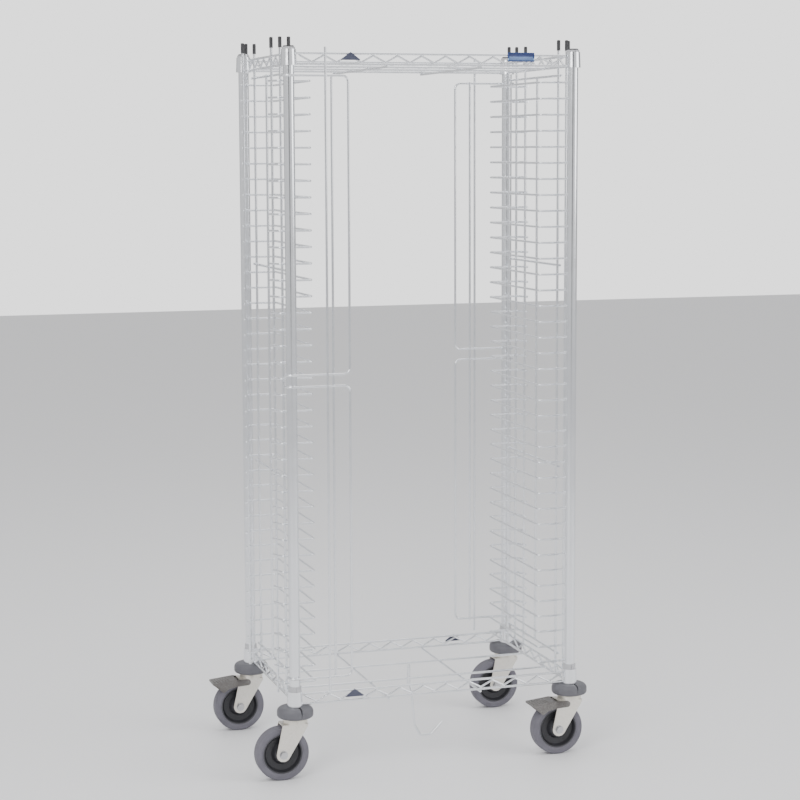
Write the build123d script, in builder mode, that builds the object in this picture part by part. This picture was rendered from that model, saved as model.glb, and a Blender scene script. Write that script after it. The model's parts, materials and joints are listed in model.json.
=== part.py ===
from build123d import *
import math
import os

# Sheet pan rack. Millimetres, +Z up, origin on the floor midway between the four posts.
# -Y is the front, where pans go in, and +X is the right-hand side seen from there.

# --- driving dimensions -------------------------------------------------------------------
POST_SPACING_X = 692.0
POST_SPACING_Y = 446.0
POST_DIAMETER = 25.4
POST_WALL = 1.6
POST_BOTTOM = 146.8
POST_TOP = 1700.0

LEDGE_COUNT = 38
LEDGE_PITCH = 38.1
TOP_LEDGE_Z = 1626.0
LEDGE_WIRE = 5.0
LEDGE_BEND = 8.0

RAIL_WIRE = 5.5
ZIGZAG_WIRE = 4.5
TRUSS_HEIGHT = 24.0
ZIGZAG_HALF_PERIOD = 29.2
ZIGZAG_BEND = 6.0
BOTTOM_FRAME_Z = 176.0
TOP_FRAME_Z = 1662.5
END_RAIL_INSET = 4.0
CROSS_WIRE_X = 115.0
CROSS_WIRE_Y = 74.0

COLLAR_BELOW_RAIL = 3.5
COLLAR_HEIGHT = 36.0
COLLAR_RADIUS_BOTTOM = 18.5
COLLAR_RADIUS_TOP = 17.0
SLEEVE_RADIUS = 15.0
SLEEVE_SHOWS_BOTTOM = 12.0
SLEEVE_SHOWS_TOP = 5.0
SLEEVE_SPLIT = 1.5

ROD_DIAMETER = 6.0
ROD_BOTTOM = 188.0
ROD_TOP = 1722.0
ROD_CAP_DIAMETER = 8.5
ROD_CAP_BOTTOM = 1701.0
ROD_CAP_TOP = 1726.0
SIDE_BAR_WIRE = 5.5
SIDE_BAR_HEIGHTS = (1642.5, 1190.0, 700.0, 234.0)

GATE_WIRE = 5.5
GATE_EYE_RADIUS = 16.0
GATE_LEVELS = (1636.0, 954.0, 927.0, 240.0)
GATE_REACH = 135.0
GATE_OUTER_ROD = 80.0
GATE_INNER_ROD = 97.0
GATE_ROD_ENDS = (205.0, 1700.0)
GATE_BEND = 14.0

HOOK_WIRE = 5.5
HOOK_PIVOT_X = -15.0
HOOK_DROP = 146.0
HOOK_EYE_HEIGHT = 32.0
HOOK_BEND = 30.0

MARKER_BASE = 50.0
MARKER_HEIGHT = 18.5
MARKER_THICKNESS = 2.0
MARKER_X = 201.0
LABEL_SIZE = (66.0, 21.0, 2.0)
LABEL_X = 214.0

WHEEL_DIAMETER = 127.0
WHEEL_WIDTH = 32.0
HUB_RADIUS = 47.5
CASTER_TRAIL = 34.0
AXLE_RADIUS = 5.0
BEARING_RADIUS = 11.0
FORK_INSIDE = 19.0
FORK_PLATE = 3.0
FORK_TOP = 134.3
KINGPIN_RADIUS = 5.0
RACE_RADIUS = 29.0
RACE_BOTTOM = 134.6
RACE_TOP = 146.4
BALL_RADIUS = 2.5
BALL_COUNT = 16
BALL_CIRCLE = 22.0
BUMPER_RADIUS = 43.0
BUMPER_BOTTOM = 147.0
BUMPER_TOP = 172.0
PEDAL_REACH = 104.0
PEDAL_CHEEK = 3.0
PEDAL_PIVOT = (-14.0, 126.0)
PEDAL_PIN_RADIUS = 3.0

CONTACT = 0.02      # gap left where two wires are welded side by side
RUNNING = 0.05      # radial clearance of a pin that turns in its hole
SIDE_GAP = 0.4      # gap between faces that slide past each other

# Rods of one corner, as (inward from the post axis along X, towards the middle along Y).
INNER_ROD = (14.5, 55.0)
MIDDLE_ROD = (-6.0, 55.0)
OUTER_ROD = (-20.5, 80.0)
LEDGE_TIP_INSET = 63.5

CORNERS = {
    "front_left": (-1, -1),
    "front_right": (1, -1),
    "back_left": (-1, 1),
    "back_right": (1, 1),
}
BRAKED = ("front_right", "back_left")

HALF_X = POST_SPACING_X / 2
HALF_Y = POST_SPACING_Y / 2
POST_RADIUS = POST_DIAMETER / 2
WHEEL_RADIUS = WHEEL_DIAMETER / 2
LEDGE_HEIGHTS = [TOP_LEDGE_Z - n * LEDGE_PITCH for n in range(LEDGE_COUNT)]
SIDES = {"left": -1, "right": 1}
WELD_OFFSET = (ROD_DIAMETER + LEDGE_WIRE) / 2 + CONTACT


def at(side_x, side_y, inset_x, inset_y):
    """A point in plan, measured from a post's axis inwards."""
    return (side_x * (HALF_X - inset_x), side_y * (HALF_Y - inset_y))


def all_corners(inset_x=0.0, inset_y=0.0):
    """The same point at every post."""
    return [at(side_x, side_y, inset_x, inset_y) for side_x, side_y in CORNERS.values()]


def bent_wire(points, bend, diameter):
    """A round wire along straight runs joined by arcs, added to the part being built."""
    with BuildLine() as route:
        FilletPolyline(*points, radius=bend)
    with BuildSketch(Plane(origin=route.line @ 0, z_dir=route.line % 0)) as section:
        Circle(diameter / 2)
    sweep(section.sketch, path=route.line)


def upright_rods(places, diameter, bottom, top):
    """Straight vertical rods, added to the part being built."""
    with BuildSketch(Plane.XY.offset(bottom)) as section:
        with Locations(*places):
            Circle(diameter / 2)
    extrude(section.sketch, amount=top - bottom)


def wires_along_x(places, diameter, half_length):
    """Straight wires along X at (y, z) places, added to the part being built."""
    with BuildSketch(Plane.YZ) as section:
        with Locations(*places):
            Circle(diameter / 2)
    extrude(section.sketch, amount=half_length, both=True)


def wires_along_y(places, diameter, half_length):
    """Straight wires along Y at (x, z) places, added to the part being built."""
    with BuildSketch(Plane.XZ) as section:
        with Locations(*places):
            Circle(diameter / 2)
    extrude(section.sketch, amount=half_length, both=True)


def zigzag(place, steps, base_z):
    """The bent wire between a rail's two long wires. place(u, z) gives the point u along the rail."""
    gap = (RAIL_WIRE + ZIGZAG_WIRE) / 2 + CONTACT
    rise = TRUSS_HEIGHT - 2 * gap
    half_turn = math.atan2(rise, ZIGZAG_HALF_PERIOD)
    corner_cut = ZIGZAG_BEND * (1 / math.cos(half_turn) - 1)
    low = base_z + gap - corner_cut
    high = base_z + TRUSS_HEIGHT - gap + corner_cut
    points = [
        place(step * ZIGZAG_HALF_PERIOD, high if step % 2 else low)
        for step in range(-steps, steps + 1)
    ]
    bent_wire(points, ZIGZAG_BEND, ZIGZAG_WIRE)


def long_rail(side_y, base_z):
    """A trussed rail from the left post to the right post."""
    rail_y = side_y * HALF_Y
    heights = [(rail_y, base_z), (rail_y, base_z + TRUSS_HEIGHT)]
    wires_along_x(heights, RAIL_WIRE, HALF_X - COLLAR_RADIUS_BOTTOM - CONTACT)
    zigzag(lambda u, z: (u, rail_y, z), 11, base_z)


def end_rail(side_x, base_z):
    """A trussed rail from the front post to the back post."""
    rail_x = side_x * (HALF_X - END_RAIL_INSET)
    heights = [(rail_x, base_z), (rail_x, base_z + TRUSS_HEIGHT)]
    wires_along_y(heights, RAIL_WIRE, HALF_Y - COLLAR_RADIUS_BOTTOM - CONTACT)
    zigzag(lambda u, z: (rail_x, u, z), 6, base_z)


def cross_wires(base_z):
    """Two long wires level with the lower rails, and two short ones welded under them."""
    long_half = HALF_X - END_RAIL_INSET - RAIL_WIRE / 2 - CONTACT
    wires_along_x([(-CROSS_WIRE_Y, base_z), (CROSS_WIRE_Y, base_z)], RAIL_WIRE, long_half)
    under = base_z - RAIL_WIRE - CONTACT
    wires_along_y([(-CROSS_WIRE_X, under), (CROSS_WIRE_X, under)], RAIL_WIRE, HALF_Y + RAIL_WIRE / 2)


def ledge_route(side_x):
    """Plan route of one ledge: outer rod, bend, along the corner rods, tip, and the same at the back."""
    wire_y = INNER_ROD[1] - WELD_OFFSET
    start = (-27.2, 81.6)
    elbow = (-13.5, wire_y)
    front = [start, elbow, (LEDGE_TIP_INSET, wire_y)]
    half = [at(side_x, -1, *point) for point in front]
    return half + [(x, -y) for x, y in reversed(half)]


def save(part, name):
    part.label = name
    export_step(part, f"parts/{name}.step")


# --- posts ---------------------------------------------------------------------------------
def make_posts():
    for place, (side_x, side_y) in CORNERS.items():
        with BuildPart() as post:
            with BuildSketch(Plane.XY.offset(POST_BOTTOM)):
                with Locations(at(side_x, side_y, 0, 0)):
                    Circle(POST_RADIUS)
                    Circle(POST_RADIUS - POST_WALL, mode=Mode.SUBTRACT)
            extrude(amount=POST_TOP - POST_BOTTOM)
        save(post.part, f"post_{place}")

    with BuildPart() as post_caps:
        with BuildSketch(Plane.XY.offset(POST_TOP + CONTACT)):
            with Locations(*all_corners()):
                Circle(POST_RADIUS)
        extrude(amount=3.0)
        fillet(post_caps.faces().group_by(Axis.Z)[-1].edges(), radius=2.0)
        with BuildSketch(Plane.XY.offset(POST_TOP + CONTACT)):
            with Locations(*all_corners()):
                Circle(POST_RADIUS - POST_WALL - CONTACT)
        extrude(amount=-14.0)
    save(post_caps.part, "post_caps")


# --- top and bottom frames -----------------------------------------------------------------
def make_collars(name, base_z):
    """Tapered corner rings that the rails are welded to."""
    bottom = base_z - COLLAR_BELOW_RAIL
    with BuildPart() as collars:
        with BuildSketch(Plane.XY.offset(bottom)):
            with Locations(*all_corners()):
                Circle(COLLAR_RADIUS_BOTTOM)
        taper = math.degrees(math.atan2(COLLAR_RADIUS_BOTTOM - COLLAR_RADIUS_TOP, COLLAR_HEIGHT))
        extrude(amount=COLLAR_HEIGHT, taper=taper)
        with BuildSketch(Plane.XY.offset(bottom)):
            with Locations(*all_corners()):
                Circle(SLEEVE_RADIUS + CONTACT)
        extrude(amount=COLLAR_HEIGHT, mode=Mode.SUBTRACT)
    save(collars.part, name)


def make_sleeves():
    """Split plastic sleeves that wedge each collar on its post."""
    with BuildPart() as sleeves:
        for base_z, shows in ((BOTTOM_FRAME_Z, SLEEVE_SHOWS_BOTTOM), (TOP_FRAME_Z, SLEEVE_SHOWS_TOP)):
            bottom = base_z - COLLAR_BELOW_RAIL
            with BuildSketch(Plane.XY.offset(bottom)):
                with Locations(*all_corners()):
                    Circle(SLEEVE_RADIUS)
                    Circle(POST_RADIUS + CONTACT, mode=Mode.SUBTRACT)
                    Rectangle(SLEEVE_SPLIT, 3 * SLEEVE_RADIUS, mode=Mode.SUBTRACT)
            extrude(amount=COLLAR_HEIGHT + shows)
    save(sleeves.part, "split_sleeves")


def make_frame(level, base_z):
    for face, side_y in (("front", -1), ("back", 1)):
        with BuildPart() as rail:
            long_rail(side_y, base_z)
        save(rail.part, f"{level}_{face}_rail")
    with BuildPart() as end_rails:
        for side_x in SIDES.values():
            end_rail(side_x, base_z)
    save(end_rails.part, f"{level}_end_rails")
    with BuildPart() as crossing:
        cross_wires(base_z)
    save(crossing.part, f"{level}_cross_wires")
    make_collars(f"{level}_collars", base_z)


def make_markers():
    """Triangular plates on the outer face of each long rail, two at the front and two at the back."""
    with BuildPart() as markers:
        for base_z in (BOTTOM_FRAME_Z, TOP_FRAME_Z):
            foot = base_z + TRUSS_HEIGHT / 2 - 3.0
            for side_y in (-1, 1):
                middle = side_y * MARKER_X
                face = side_y * (HALF_Y + RAIL_WIRE / 2 + CONTACT)
                corners = [
                    (middle - MARKER_BASE / 2, foot),
                    (middle + MARKER_BASE / 2, foot),
                    (middle, foot + MARKER_HEIGHT),
                ]
                with BuildSketch(Plane.XZ.offset(-face)):
                    Polygon(*corners, align=None)
                extrude(amount=-side_y * MARKER_THICKNESS)
        fillet(markers.edges().filter_by(Axis.Y), radius=1.2)
    save(markers.part, "rail_markers")


def make_label():
    """A blank label holder on the top front rail: a plate with a raised rim."""
    width, height, thickness = LABEL_SIZE
    middle_z = TOP_FRAME_Z + TRUSS_HEIGHT - height / 2 + 6.0
    face = HALF_Y + RAIL_WIRE / 2 + CONTACT
    with BuildPart() as label:
        with BuildSketch(Plane.XZ.offset(face)):
            with Locations((LABEL_X, middle_z)):
                RectangleRounded(width, height, 2.0)
        extrude(amount=thickness)
        with BuildSketch(Plane.XZ.offset(face + thickness)):
            with Locations((LABEL_X, middle_z)):
                RectangleRounded(width - 4.0, height - 4.0, 1.2)
        extrude(amount=-0.8, mode=Mode.SUBTRACT)
    save(label.part, "label_holder")


# --- side panels: ledges and the rods that carry them ----------------------------------------
def make_side_panels():
    for side, side_x in SIDES.items():
        with BuildPart() as ledge:
            route = [(x, y, 0) for x, y in ledge_route(side_x)]
            bent_wire(route, LEDGE_BEND, LEDGE_WIRE)
        with BuildPart() as ledges:
            with Locations(*[(0, 0, z) for z in LEDGE_HEIGHTS]):
                add(ledge.part)
        save(ledges.part, f"{side}_ledges")

        bar_inset = INNER_ROD[0] - (ROD_DIAMETER + SIDE_BAR_WIRE) / 2 - CONTACT
        centre_inset = bar_inset - (ROD_DIAMETER + SIDE_BAR_WIRE) / 2 - CONTACT
        with BuildPart() as rods:
            corners = [at(side_x, side_y, *rod) for side_y in (-1, 1)
                       for rod in (INNER_ROD, MIDDLE_ROD, OUTER_ROD)]
            upright_rods(corners, ROD_DIAMETER, ROD_BOTTOM, ROD_TOP)
            centre = side_x * (HALF_X - centre_inset)
            upright_rods([(centre, 0)], ROD_DIAMETER, SIDE_BAR_HEIGHTS[-1] - 3.0, SIDE_BAR_HEIGHTS[0] + 3.0)
        save(rods.part, f"{side}_upright_rods")

        with BuildPart() as bars:
            bar_x = side_x * (HALF_X - bar_inset)
            places = [(bar_x, z) for z in SIDE_BAR_HEIGHTS]
            wires_along_y(places, SIDE_BAR_WIRE, HALF_Y - INNER_ROD[1] + ROD_DIAMETER / 2)
        save(bars.part, f"{side}_side_bars")


def make_rod_caps():
    """Soft caps pushed on the tops of the corner rods."""
    places = [spot for rod in (INNER_ROD, MIDDLE_ROD, OUTER_ROD) for spot in all_corners(*rod)]
    with BuildPart() as caps:
        upright_rods(places, ROD_CAP_DIAMETER, ROD_CAP_BOTTOM, ROD_CAP_TOP)
        fillet(caps.faces().group_by(Axis.Z)[-1].edges(), radius=2.5)
        with BuildSketch(Plane.XY.offset(ROD_CAP_BOTTOM)):
            with Locations(*places):
                Circle(ROD_DIAMETER / 2 + CONTACT)
        extrude(amount=ROD_TOP + CONTACT - ROD_CAP_BOTTOM, mode=Mode.SUBTRACT)
    save(caps.part, "rod_caps")


# --- pan-stop gates ---------------------------------------------------------------------------
def gate_loop(side, high, low):
    """One bent wire: an eye round the post, out along the gate, down, and back to a second eye."""
    post_x, post_y = at(side, side, 0, 0)
    line_y = post_y + side * GATE_EYE_RADIUS
    turn = math.radians(150.0)
    eye_x = post_x + side * GATE_EYE_RADIUS * math.sin(turn)
    eye_y = post_y + side * GATE_EYE_RADIUS * math.cos(turn)
    far_x = post_x + side * GATE_EYE_RADIUS
    outer_x = post_x - side * GATE_REACH
    with BuildLine() as route:
        ThreePointArc((eye_x, eye_y, high), (far_x, post_y, high), (post_x, line_y, high))
        FilletPolyline(
            (post_x, line_y, high),
            (outer_x, line_y, high),
            (outer_x, line_y, low),
            (post_x, line_y, low),
            radius=GATE_BEND,
        )
        ThreePointArc((post_x, line_y, low), (far_x, post_y, low), (eye_x, eye_y, low))
    with BuildSketch(Plane(origin=route.line @ 0, z_dir=route.line % 0)) as section:
        Circle(GATE_WIRE / 2)
    sweep(section.sketch, path=route.line)


def make_gates():
    """A gate on the front left post, and its twin turned half a turn on the back right post."""
    for name, side in (("front_gate", -1), ("back_gate", 1)):
        with BuildPart() as gate:
            gate_loop(side, GATE_LEVELS[0], GATE_LEVELS[1])
            gate_loop(side, GATE_LEVELS[2], GATE_LEVELS[3])
            step = GATE_WIRE + CONTACT
            outside = at(side, side, GATE_OUTER_ROD, -GATE_EYE_RADIUS - step)
            inside = at(side, side, GATE_INNER_ROD, -GATE_EYE_RADIUS + step)
            upright_rods([outside], GATE_WIRE, *GATE_ROD_ENDS)
            upright_rods([inside], GATE_WIRE, GATE_LEVELS[3] - 3.0, GATE_LEVELS[0] + 3.0)
        save(gate.part, name)


# --- tow hook -----------------------------------------------------------------------------------
def make_tow_hook():
    """A bent wire whose flat eye hangs on the front long wire of the bottom frame."""
    pivot_z = BOTTOM_FRAME_Z
    pivot_y = -CROSS_WIRE_Y
    eye_y = (RAIL_WIRE + HOOK_WIRE) / 2 + SIDE_GAP
    top = pivot_z + HOOK_EYE_HEIGHT
    bottom = pivot_z - HOOK_DROP
    lean = 12.0
    with BuildPart() as hook:
        bent_wire(
            [
                (HOOK_PIVOT_X - 7.0, pivot_y - eye_y, pivot_z - 12.0),
                (HOOK_PIVOT_X - 6.0, pivot_y - eye_y, top),
                (HOOK_PIVOT_X, pivot_y + eye_y, top),
                (HOOK_PIVOT_X, pivot_y + eye_y, pivot_z - 16.0),
                (HOOK_PIVOT_X + 3.0, pivot_y, pivot_z - 30.0),
                (HOOK_PIVOT_X + lean, pivot_y, bottom + 26.0),
                (HOOK_PIVOT_X + 26.0, pivot_y, bottom),
                (HOOK_PIVOT_X + 54.0, pivot_y, bottom),
                (HOOK_PIVOT_X + 84.0, pivot_y, bottom + 30.0),
            ],
            5.0,
            HOOK_WIRE,
        )
    save(hook.part, "tow_hook")


# --- casters --------------------------------------------------------------------------------------
def wheel_plane(side_x, side_y):
    """Sketch plane of a wheel section: local x along the axle, local y outward from it."""
    post_x, post_y = at(side_x, side_y, 0, 0)
    return Plane(origin=(post_x - CASTER_TRAIL, post_y, WHEEL_RADIUS), x_dir=(0, 1, 0), z_dir=(1, 0, 0))


def axle_axis(side_x, side_y):
    return Axis(wheel_plane(side_x, side_y).origin, (0, 1, 0))


def make_fixed_caster_parts():
    """Stems, ball races, balls and bumpers: the pieces that don't turn with the forks."""
    with BuildPart() as stems:
        upright_rods(all_corners(), 2 * (POST_RADIUS - POST_WALL - CONTACT), RACE_TOP + CONTACT, 232.0)
        fillet(stems.faces().group_by(Axis.Z)[-1].edges(), radius=3.0)
        upright_rods(all_corners(), 2 * KINGPIN_RADIUS, 125.6, RACE_TOP + 1.0)
        with BuildSketch(Plane.XY.offset(125.6)):
            with Locations(*all_corners()):
                RegularPolygon(9.0, 6)
        extrude(amount=FORK_TOP - FORK_PLATE - SIDE_GAP - 125.6)
    save(stems.part, "caster_stems")

    with BuildPart() as races:
        upright_rods(all_corners(), 2 * RACE_RADIUS, RACE_BOTTOM, RACE_TOP)
        fillet(races.faces().group_by(Axis.Z)[-1].edges(), radius=3.0)
        with BuildSketch(Plane.XY.offset(RACE_BOTTOM)):
            with Locations(*all_corners()):
                Circle(KINGPIN_RADIUS + CONTACT)
        extrude(amount=RACE_TOP - RACE_BOTTOM, mode=Mode.SUBTRACT)
        for corner in all_corners():
            with BuildSketch(Plane.XZ.offset(-corner[1])):
                with Locations((corner[0] + BALL_CIRCLE, RACE_BOTTOM + BALL_RADIUS + 0.1)):
                    Circle(BALL_RADIUS + 0.05)
            revolve(axis=Axis((*corner, 0), (0, 0, 1)), mode=Mode.SUBTRACT)
    save(races.part, "swivel_races")

    with BuildPart() as balls:
        for corner in all_corners():
            with BuildSketch(Plane.XZ.offset(-corner[1])):
                with Locations((corner[0] + BALL_CIRCLE, RACE_BOTTOM + BALL_RADIUS + 0.1)):
                    Circle(BALL_RADIUS)
            revolve(axis=Axis((*corner, 0), (0, 0, 1)))
    save(balls.part, "swivel_balls")

    with BuildPart() as bumpers:
        with BuildSketch(Plane.XY.offset(BUMPER_BOTTOM)):
            with Locations(*all_corners()):
                Circle(BUMPER_RADIUS)
        extrude(amount=BUMPER_TOP - BUMPER_BOTTOM)
        fillet(bumpers.faces().group_by(Axis.Z)[-1].edges(), radius=11.0)
        fillet(bumpers.faces().group_by(Axis.Z)[0].edges(), radius=7.0)
        with BuildSketch(Plane.XY.offset(BUMPER_BOTTOM)):
            with Locations(*all_corners()):
                Circle(POST_RADIUS + 0.3)
        extrude(amount=BUMPER_TOP - BUMPER_BOTTOM, mode=Mode.SUBTRACT)
        for side_x, side_y in CORNERS.values():
            post_x, post_y = at(side_x, side_y, 0, 0)
            notch = post_x + 6.0
            corners = [(notch - 2.5, BUMPER_TOP + 1), (notch + 2.5, BUMPER_TOP + 1), (notch, BUMPER_TOP - 19)]
            with BuildSketch(Plane.XZ.offset(-post_y - side_y * (POST_RADIUS + 2))):
                Polygon(*corners, align=None)
            extrude(amount=-side_y * BUMPER_RADIUS, mode=Mode.SUBTRACT)
    save(bumpers.part, "corner_bumpers")


def make_fork(name, side_x, side_y, braked):
    """Pressed yoke: a top plate on the ball race and two cheeks that narrow down to the axle."""
    post_x, post_y = at(side_x, side_y, 0, 0)
    outside = FORK_INSIDE + FORK_PLATE
    with BuildPart() as fork:
        with BuildSketch(Plane.XY.offset(FORK_TOP)):
            with Locations((post_x, post_y)):
                Circle(outside)
            with Locations((post_x - 5.0, post_y)):
                RectangleRounded(62.0, 2 * outside, 3.0)
        extrude(amount=-FORK_PLATE)
        for side in (-1, 1):
            with BuildSketch(Plane.XZ.offset(-(post_y + side * FORK_INSIDE))):
                with Locations((post_x - CASTER_TRAIL, WHEEL_RADIUS)):
                    Circle(16.5)
                with Locations((post_x - 5.0, FORK_TOP - 2.5)):
                    Rectangle(61.0, 5.0)
                make_hull()
            extrude(amount=-side * FORK_PLATE)
        with BuildSketch(Plane.XZ.offset(-post_y)):
            with Locations((post_x - CASTER_TRAIL, WHEEL_RADIUS)):
                Circle(AXLE_RADIUS + CONTACT)
            if braked:
                with Locations((post_x + PEDAL_PIVOT[0], PEDAL_PIVOT[1])):
                    Circle(PEDAL_PIN_RADIUS + RUNNING)
        extrude(amount=2 * outside, both=True, mode=Mode.SUBTRACT)
        with BuildSketch(Plane.XY.offset(FORK_TOP)):
            with Locations((post_x, post_y)):
                Circle(KINGPIN_RADIUS + RUNNING)
        extrude(amount=-FORK_PLATE, mode=Mode.SUBTRACT)
    save(fork.part, f"fork_{name}")


def make_wheel(name, side_x, side_y):
    plane = wheel_plane(side_x, side_y)
    axis = axle_axis(side_x, side_y)
    half = WHEEL_WIDTH / 2

    with BuildPart() as tyre:
        with BuildSketch(plane):
            with Locations((0, (WHEEL_RADIUS + HUB_RADIUS) / 2)):
                RectangleRounded(WHEEL_WIDTH, WHEEL_RADIUS - HUB_RADIUS, 5.0)
            with Locations((0, HUB_RADIUS + 4.0)):
                Rectangle(WHEEL_WIDTH - 4.0, 8.0)
        revolve(axis=axis)
    save(tyre.part, f"tyre_{name}")

    rim = HUB_RADIUS - CONTACT
    with BuildPart() as hub:
        with BuildSketch(plane):
            with BuildLine():
                Polyline(
                    (half - 2, rim),
                    (half - 2, rim - 3),
                    (6, rim - 8),
                    (5, 26),
                    (half + 1, 19),
                    (half + 1, BEARING_RADIUS + CONTACT),
                    (-half - 1, BEARING_RADIUS + CONTACT),
                    (-half - 1, 19),
                    (-5, 26),
                    (-6, rim - 8),
                    (-half + 2, rim - 3),
                    (-half + 2, rim),
                    close=True,
                )
            make_face()
        revolve(axis=axis)
    save(hub.part, f"hub_{name}")

    bore = AXLE_RADIUS + RUNNING
    with BuildPart() as bearings:
        with BuildSketch(plane):
            for side in (-1, 1):
                with Locations((side * 13.0, (BEARING_RADIUS + bore) / 2)):
                    Rectangle(8.0, BEARING_RADIUS - bore)
                with Locations((side * 17.8, (8.0 + bore) / 2)):
                    Rectangle(1.6, 8.0 - bore)
            with Locations((0, (7.0 + bore) / 2)):
                Rectangle(18.0, 7.0 - bore)
        revolve(axis=axis)
    save(bearings.part, f"wheel_bearings_{name}")


def make_axle(name, side_x, side_y):
    """Hex-headed axle bolt with its locknut."""
    post_x, post_y = at(side_x, side_y, 0, 0)
    outside = FORK_INSIDE + FORK_PLATE
    spot = (post_x - CASTER_TRAIL, WHEEL_RADIUS)
    with BuildPart() as axle:
        with BuildSketch(Plane.XZ.offset(-post_y)):
            with Locations(spot):
                Circle(AXLE_RADIUS)
        extrude(amount=outside + 4.0, both=True)
        for side in (-1, 1):
            with BuildSketch(Plane.XZ.offset(-(post_y + side * (outside + CONTACT)))):
                with Locations(spot):
                    Circle(10.0)
            extrude(amount=-side * 1.6)
            with BuildSketch(Plane.XZ.offset(-(post_y + side * (outside + 1.6)))):
                with Locations(spot):
                    RegularPolygon(8.6, 6)
            extrude(amount=-side * 5.4)
    save(axle.part, f"axle_{name}")


def make_brake(name, side_x, side_y):
    """Foot pedal pinned to the fork, with a shoe above the tread."""
    post_x, post_y = at(side_x, side_y, 0, 0)
    inside = FORK_INSIDE + FORK_PLATE + SIDE_GAP
    outside = inside + PEDAL_CHEEK
    pivot = (post_x + PEDAL_PIVOT[0], PEDAL_PIVOT[1])
    toe = post_x - PEDAL_REACH
    with BuildPart() as pedal:
        for side in (-1, 1):
            with BuildSketch(Plane.XZ.offset(-(post_y + side * inside))):
                Polygon(
                    (toe, 129),
                    (toe, 125.5),
                    (toe + 27, 103),
                    (toe + 40, 112),
                    (post_x - 40, 117),
                    (pivot[0], 118.6),
                    (pivot[0], 133.2),
                    (post_x - 36, 133.8),
                    (post_x - 44, 135.4),
                    align=None,
                )
                with Locations(pivot):
                    Circle(7.4)
            extrude(amount=-side * PEDAL_CHEEK)
            with BuildSketch(Plane.XZ.offset(-(post_y + side * (FORK_INSIDE - 0.4)))):
                with Locations(pivot):
                    Circle(PEDAL_PIN_RADIUS)
            extrude(amount=-side * (outside - FORK_INSIDE + 0.4))
        with BuildSketch(Plane.XZ.offset(-post_y)):
            Polygon(
                (toe, 129),
                (toe, 124.5),
                (post_x - 43, 130.6),
                (post_x - 43, 135.3),
                align=None,
            )
        extrude(amount=outside, both=True)
    save(pedal.part, f"brake_pedal_{name}")

    with BuildPart() as shoe:
        with BuildSketch(Plane.XZ.offset(-post_y)):
            Polygon(
                (post_x - 66, 128.2),
                (post_x - 66, 124.2),
                (post_x - 50, 129.1),
                (post_x - 50, 129.8),
                align=None,
            )
        extrude(amount=12.0, both=True)
    save(shoe.part, f"brake_shoe_{name}")


def make_casters():
    make_fixed_caster_parts()
    for name, (side_x, side_y) in CORNERS.items():
        braked = name in BRAKED
        make_fork(name, side_x, side_y, braked)
        make_wheel(name, side_x, side_y)
        make_axle(name, side_x, side_y)
        if braked:
            make_brake(name, side_x, side_y)


os.makedirs("parts", exist_ok=True)
make_posts()
make_sleeves()
make_frame("bottom", BOTTOM_FRAME_Z)
make_frame("top", TOP_FRAME_Z)
make_markers()
make_label()
make_side_panels()
make_rod_caps()
make_gates()
make_tow_hook()
make_casters()
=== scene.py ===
import json
import math

import bmesh
import bpy
from mathutils import Matrix, Vector


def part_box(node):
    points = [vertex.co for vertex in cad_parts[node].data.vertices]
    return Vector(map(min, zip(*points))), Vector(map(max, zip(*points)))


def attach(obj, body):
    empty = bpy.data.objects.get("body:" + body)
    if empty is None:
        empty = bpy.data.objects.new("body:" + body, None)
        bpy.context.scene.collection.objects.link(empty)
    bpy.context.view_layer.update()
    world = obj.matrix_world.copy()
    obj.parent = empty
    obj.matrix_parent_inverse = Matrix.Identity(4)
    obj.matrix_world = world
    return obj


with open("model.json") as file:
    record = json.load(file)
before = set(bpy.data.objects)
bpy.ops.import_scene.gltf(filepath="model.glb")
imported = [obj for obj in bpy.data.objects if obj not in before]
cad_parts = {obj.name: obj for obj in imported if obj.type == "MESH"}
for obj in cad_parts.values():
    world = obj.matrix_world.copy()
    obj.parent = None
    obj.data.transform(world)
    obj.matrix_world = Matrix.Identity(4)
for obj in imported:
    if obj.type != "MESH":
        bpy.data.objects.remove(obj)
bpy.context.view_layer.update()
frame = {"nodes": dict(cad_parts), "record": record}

# --- places repeated from the CAD model, in metres ---
POST_X = 0.346
POST_Y = 0.223
LEDGES = 38
LEDGE_PITCH = 0.0381
TOP_LEDGE = 1.626
WIRE_R = 0.0025
ROD_R = 0.003
INNER_ROD = (0.0145, 0.055)
MIDDLE_ROD = (-0.006, 0.055)
OUTER_ROD = (-0.0205, 0.080)
SIDE_BARS = (1.6425, 1.190, 0.700, 0.234)
BOTTOM_FRAME = 0.176
TOP_FRAME = 1.6625
TRUSS = 0.024
ZIGZAG_STEP = 0.0292
END_RAIL_INSET = 0.004

# --- camera: front left, a little above the middle of the rack ---
CAMERA_AT = (-1.5236, -4.7998, 1.4656)
CAMERA_YAW = -17.45
CAMERA_PITCH = -6.89
CAMERA_ROLL = -0.22
CAMERA_LENS = 92.8


def make_camera():
    data = bpy.data.cameras.new("camera")
    data.lens = CAMERA_LENS
    data.sensor_width = 36.0
    camera = bpy.data.objects.new("camera", data)
    bpy.context.scene.collection.objects.link(camera)
    turn = (
        Matrix.Rotation(math.radians(CAMERA_YAW), 4, "Z")
        @ Matrix.Rotation(math.radians(90 + CAMERA_PITCH), 4, "X")
        @ Matrix.Rotation(math.radians(CAMERA_ROLL), 4, "Z")
    )
    camera.matrix_world = Matrix.Translation(CAMERA_AT) @ turn
    bpy.context.scene.camera = camera


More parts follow.
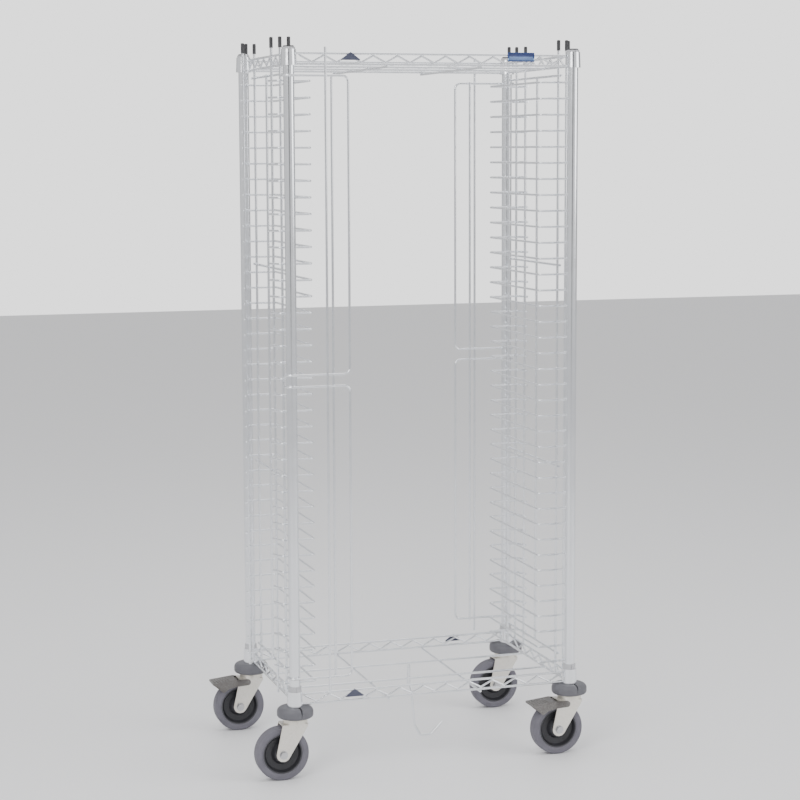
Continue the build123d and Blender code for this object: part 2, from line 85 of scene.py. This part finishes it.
def area_light(name, place, aim, size, watts):
    data = bpy.data.lights.new(name, "AREA")
    data.shape = "RECTANGLE"
    data.size, data.size_y = size
    data.energy = watts
    lamp = bpy.data.objects.new(name, data)
    lamp.location = place
    lamp.rotation_euler = (Vector(aim) - Vector(place)).to_track_quat("-Z", "Y").to_euler()
    bpy.context.scene.collection.objects.link(lamp)


def make_studio():
    """White room with a few darker uprights for bright metal to reflect, and a pale floor."""
    world = bpy.data.worlds.new("studio")
    bpy.context.scene.world = world
    world.use_nodes = True
    tree = world.node_tree
    tree.nodes.clear()
    out = tree.nodes.new("ShaderNodeOutputWorld")
    seen = tree.nodes.new("ShaderNodeBackground")
    seen.inputs["Color"].default_value = (1, 1, 1, 1)
    seen.inputs["Strength"].default_value = 1.9
    lit = tree.nodes.new("ShaderNodeBackground")
    lit.inputs["Strength"].default_value = 0.95
    place = tree.nodes.new("ShaderNodeTexCoord")
    split = tree.nodes.new("ShaderNodeSeparateXYZ")
    heading = tree.nodes.new("ShaderNodeMath")
    heading.operation = "ARCTAN2"
    ramp = tree.nodes.new("ShaderNodeValToRGB")
    scale = tree.nodes.new("ShaderNodeMapRange")
    scale.inputs["From Min"].default_value = -math.pi
    scale.inputs["From Max"].default_value = math.pi
    stops = [(0.0, 0.95), (0.16, 0.95), (0.19, 0.22), (0.225, 0.2), (0.25, 1.0), (0.47, 1.0),
             (0.5, 0.35), (0.54, 0.3), (0.57, 0.95), (0.80, 0.95), (0.83, 0.25), (0.87, 0.95)]
    elements = ramp.color_ramp.elements
    elements[0].position, elements[1].position = stops[0][0], stops[-1][0]
    for at, _ in stops[1:-1]:
        elements.new(at)
    for element, (_, grey) in zip(elements, stops):
        element.color = (grey, grey, grey * 1.01, 1)
    path = tree.nodes.new("ShaderNodeLightPath")
    mix = tree.nodes.new("ShaderNodeMixShader")
    link = tree.links.new
    link(place.outputs["Generated"], split.inputs[0])
    link(split.outputs["Y"], heading.inputs[0])
    link(split.outputs["X"], heading.inputs[1])
    link(heading.outputs[0], scale.inputs["Value"])
    link(scale.outputs[0], ramp.inputs[0])
    link(ramp.outputs[0], lit.inputs["Color"])
    link(path.outputs["Is Camera Ray"], mix.inputs[0])
    link(lit.outputs[0], mix.inputs[1])
    link(seen.outputs[0], mix.inputs[2])
    link(mix.outputs[0], out.inputs["Surface"])

    area_light("key", (-2.6, -3.0, 3.2), (0, 0, 0.9), (2.2, 2.2), 95)
    area_light("fill", (3.2, -2.2, 2.4), (0, 0, 0.9), (2.5, 2.5), 55)
    area_light("top", (0, 0.4, 4.2), (0, 0, 0), (3.0, 3.0), 60)

    mesh = bpy.data.meshes.new("floor")
    span = 14.0
    mesh.from_pydata([(-span, -span, 0), (span, -span, 0), (span, span, 0), (-span, span, 0)], [], [(0, 1, 2, 3)])
    floor = bpy.data.objects.new("floor", mesh)
    bpy.context.scene.collection.objects.link(floor)
    floor.data.materials.append(material("pale_floor", (0.93, 0.93, 0.94), rough=0.45, grain=3.0, mottle=0.01, bump=0.0))


# --- materials ---
def material(name, colour, metal=0.0, rough=0.5, grain=120.0, mottle=0.06, bump=0.0003,
             wear=None, rough_swing=0.08, coat=0.0, stretch=(1, 1, 1), painted_light_bands=None):
    """A procedural finish: mottled colour, uneven roughness, fine bump, rubbed convex edges, and optional flat
    colour bands by height that hold painted highlight and painted shadow.
    """
    made = bpy.data.materials.new(name)
    made.use_nodes = True
    tree = made.node_tree
    shader = tree.nodes["Principled BSDF"]
    shader.inputs["Metallic"].default_value = metal
    shader.inputs["Coat Weight"].default_value = coat
    new, link = tree.nodes.new, tree.links.new
    place = new("ShaderNodeTexCoord")
    mapping = new("ShaderNodeMapping")
    mapping.inputs["Scale"].default_value = stretch
    link(place.outputs["Object"], mapping.inputs["Vector"])

    noise = new("ShaderNodeTexNoise")
    noise.inputs["Scale"].default_value = grain
    noise.inputs["Detail"].default_value = 5.0
    link(mapping.outputs[0], noise.inputs["Vector"])
    broad = new("ShaderNodeTexNoise")
    broad.inputs["Scale"].default_value = grain / 14
    broad.inputs["Detail"].default_value = 3.0
    link(mapping.outputs[0], broad.inputs["Vector"])

    tint = new("ShaderNodeValToRGB")
    tint.color_ramp.elements[0].position = 0.3
    tint.color_ramp.elements[1].position = 0.7
    tint.color_ramp.elements[0].color = (*[max(c * (1 - mottle), 0) for c in colour], 1)
    tint.color_ramp.elements[1].color = (*[min(c * (1 + mottle), 1) for c in colour], 1)
    link(broad.outputs["Fac"], tint.inputs[0])
    shade = tint.outputs[0]

    # Flat colour bands by height. Here they carry painted light: a painted highlight on the label holder and
    # painted shadow on its card.
    if painted_light_bands:
        split = new("ShaderNodeSeparateXYZ")
        link(place.outputs["Object"], split.inputs[0])
        for low, high, painted_light_colour in painted_light_bands:
            above = new("ShaderNodeMath")
            above.operation = "GREATER_THAN"
            above.inputs[1].default_value = low
            below = new("ShaderNodeMath")
            below.operation = "LESS_THAN"
            below.inputs[1].default_value = high
            both = new("ShaderNodeMath")
            both.operation = "MULTIPLY"
            link(split.outputs["Z"], above.inputs[0])
            link(split.outputs["Z"], below.inputs[0])
            link(above.outputs[0], both.inputs[0])
            link(below.outputs[0], both.inputs[1])
            mix = new("ShaderNodeMix")
            mix.data_type = "RGBA"
            mix.inputs["B"].default_value = (*painted_light_colour, 1)
            link(both.outputs[0], mix.inputs["Factor"])
            link(shade, mix.inputs["A"])
            shade = mix.outputs["Result"]

    if wear:
        geometry = new("ShaderNodeNewGeometry")
        edge = new("ShaderNodeValToRGB")
        edge.color_ramp.elements[0].position = 0.53
        edge.color_ramp.elements[1].position = 0.62
        link(geometry.outputs["Pointiness"], edge.inputs[0])
        patch = new("ShaderNodeMath")
        patch.operation = "MULTIPLY"
        link(edge.outputs[0], patch.inputs[0])
        link(noise.outputs["Fac"], patch.inputs[1])
        rubbed = new("ShaderNodeMix")
        rubbed.data_type = "RGBA"
        rubbed.inputs["B"].default_value = (*wear, 1)
        link(patch.outputs[0], rubbed.inputs["Factor"])
        link(shade, rubbed.inputs["A"])
        shade = rubbed.outputs["Result"]
    link(shade, shader.inputs["Base Color"])

    uneven = new("ShaderNodeMapRange")
    uneven.inputs["To Min"].default_value = max(rough - rough_swing, 0.02)
    uneven.inputs["To Max"].default_value = min(rough + rough_swing, 1.0)
    link(broad.outputs["Fac"], uneven.inputs["Value"])
    link(uneven.outputs[0], shader.inputs["Roughness"])

    if bump:
        relief = new("ShaderNodeBump")
        relief.inputs["Strength"].default_value = 0.35
        relief.inputs["Distance"].default_value = bump
        link(noise.outputs["Fac"], relief.inputs["Height"])
        link(relief.outputs[0], shader.inputs["Normal"])
    return made


def make_finishes():
    label_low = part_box("label_holder")[0][2]
    return {
        "chrome_wire": material("bright_plate", (0.83, 0.845, 0.87), metal=1.0, rough=0.16,
                                grain=260, mottle=0.03, bump=0.00005, rough_swing=0.06),
        "zinc_plate": material("warm_zinc", (0.70, 0.66, 0.58), metal=0.85, rough=0.36,
                               grain=300, mottle=0.08, bump=0.00012, wear=(0.86, 0.84, 0.8)),
        "steel": material("turned_steel", (0.55, 0.55, 0.56), metal=1.0, rough=0.3,
                          grain=400, mottle=0.08, bump=0.00008),
        "grey_tyre": material("grey_tread", (0.135, 0.13, 0.155), rough=0.62,
                              grain=500, mottle=0.12, bump=0.0003, wear=(0.24, 0.235, 0.26)),
        "grey_bumper": material("grey_bumper", (0.12, 0.12, 0.135), rough=0.52,
                                grain=420, mottle=0.1, bump=0.0002, wear=(0.24, 0.24, 0.26)),
        "black_hub": material("black_hub", (0.022, 0.022, 0.026), rough=0.4,
                              grain=500, mottle=0.15, bump=0.00015, wear=(0.09, 0.09, 0.1)),
        "black_plastic": material("black_cap", (0.018, 0.018, 0.02), rough=0.42,
                                  grain=600, mottle=0.15, bump=0.0001, wear=(0.08, 0.08, 0.085)),
        "sleeve_plastic": material("grey_sleeve", (0.5, 0.5, 0.52), rough=0.48,
                                   grain=500, mottle=0.05, bump=0.0001),
        "dark_pedal": material("dark_pedal", (0.05, 0.042, 0.038), metal=0.3, rough=0.42,
                               grain=380, mottle=0.18, bump=0.0002, wear=(0.3, 0.29, 0.28)),
        "dark_marker": material("navy_enamel", (0.018, 0.022, 0.055), rough=0.28,
                                grain=300, mottle=0.08, bump=0.00005, wear=(0.1, 0.11, 0.16), coat=0.4),
        # The paler band just above the holder's bottom edge is a painted highlight where top light catches the
        # lower lip.
        "blue_label": material("blue_label", (0.03, 0.06, 0.19), rough=0.35, grain=300, mottle=0.05,
                               bump=0.00005, painted_light_bands=[(label_low + 0.003, label_low + 0.0075, (0.32, 0.5, 0.74))]),
    }


def dress_nodes(finishes):
    slots = {part["node"]: part["material_slot"] for part in frame["record"]["subparts"]}
    for name, piece in frame["nodes"].items():
        piece.data.materials.clear()
        piece.data.materials.append(finishes[slots[name]])


# --- added detail ---
def add_piece(name, build, finish, body):
    mesh = bpy.data.meshes.new(name)
    form = bmesh.new()
    build(form)
    form.to_mesh(mesh)
    form.free()
    mesh.shade_smooth()
    piece = bpy.data.objects.new(name, mesh)
    bpy.context.scene.collection.objects.link(piece)
    mesh.materials.append(finish)
    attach(piece, body)
    return piece


def bead(form, centre, size):
    """A small flattened weld bead."""
    made = bmesh.ops.create_icosphere(form, subdivisions=2, radius=1.0)
    place = Matrix.Translation(centre) @ Matrix.Diagonal((*size, 1))
    bmesh.ops.transform(form, matrix=place, verts=made["verts"])


def weld_places():
    """Where each ledge meets the six corner rods of its side."""
    shift = 0.0027
    for side in (-1, 1):
        for end in (-1, 1):
            for rod in (INNER_ROD, MIDDLE_ROD):
                x = side * (POST_X - rod[0])
                y = end * (POST_Y - rod[1] + shift)
                for n in range(LEDGES):
                    yield (x, y, TOP_LEDGE - n * LEDGE_PITCH)
            x = side * (POST_X - OUTER_ROD[0] + shift * 0.92)
            y = end * (POST_Y - OUTER_ROD[1] + shift * 0.39)
            for n in range(LEDGES):
                yield (x, y, TOP_LEDGE - n * LEDGE_PITCH)


def ledge_welds(form):
    for place in weld_places():
        bead(form, place, (0.0026, 0.0026, 0.0032))


def rail_welds(form):
    for base in (BOTTOM_FRAME, TOP_FRAME):
        for step in range(-11, 12):
            height = base + (TRUSS - 0.0027 if step % 2 else 0.0027)
            for side in (-1, 1):
                bead(form, (step * ZIGZAG_STEP, side * POST_Y, height), (0.0042, 0.0021, 0.0016))
        for step in range(-6, 7):
            height = base + (TRUSS - 0.0027 if step % 2 else 0.0027)
            for side in (-1, 1):
                bead(form, (side * (POST_X - END_RAIL_INSET), step * ZIGZAG_STEP, height),
                     (0.0021, 0.0042, 0.0016))


def label_card(form):
    """Blank card held behind the label's rim."""
    low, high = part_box("label_holder")
    margin = 0.0026
    corners = [
        (low[0] + margin, low[2] + margin),
        (high[0] - margin, low[2] + margin),
        (high[0] - margin, high[2] - margin),
        (low[0] + margin, high[2] - margin),
    ]
    face = low[1] + 0.00045
    verts = [form.verts.new((x, y, z)) for y in (face, face + 0.0003) for x, z in corners]
    form.faces.new(verts[0:4])
    form.faces.new(verts[7:3:-1])
    for n in range(4):
        form.faces.new((verts[n], verts[n + 4], verts[(n + 1) % 4 + 4], verts[(n + 1) % 4]))
    bmesh.ops.recalc_face_normals(form, faces=form.faces)
    bmesh.ops.bevel(form, geom=list(form.edges), offset=0.0001, segments=2, affect="EDGES")


def pedal_ribs(node):
    """Grip ribs across the top of a brake pedal."""
    low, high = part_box(node)
    middle_y = (low[1] + high[1]) / 2
    half_width = (high[1] - low[1]) / 2 - 0.004

    def build(form):
        for n in range(6):
            x = low[0] + 0.006 + n * 0.007
            z = 0.1291 + (x - low[0]) * 0.1036
            made = bmesh.ops.create_cube(form, size=1.0)
            size = Matrix.Diagonal((0.0028, 2 * half_width, 0.0016, 1))
            bmesh.ops.transform(form, matrix=Matrix.Translation((x, middle_y, z)) @ size, verts=made["verts"])
        bmesh.ops.bevel(form, geom=list(form.edges), offset=0.0005, segments=2, affect="EDGES")

    return build


def add_details(finishes):
    add_piece("ledge_weld_beads", ledge_welds, finishes["chrome_wire"], "rack")
    add_piece("rail_weld_beads", rail_welds, finishes["chrome_wire"], "rack")
    # The darker band across the top of the blank card is painted shadow cast by the holder's top rim.
    card = material("label_card", (0.16, 0.25, 0.48), rough=0.5, grain=260, mottle=0.04, bump=0.00003,
                    painted_light_bands=[(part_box("label_holder")[1][2] - 0.0095, 9.0, (0.028, 0.045, 0.15))])
    add_piece("label_card", label_card, card, "rack")
    for corner in ("front_right", "back_left"):
        node = f"brake_pedal_{corner}"
        add_piece(f"pedal_ribs_{corner}", pedal_ribs(node), finishes["dark_pedal"], f"brake_{corner}")


make_camera()
make_studio()
FINISHES = make_finishes()
dress_nodes(FINISHES)
add_details(FINISHES)
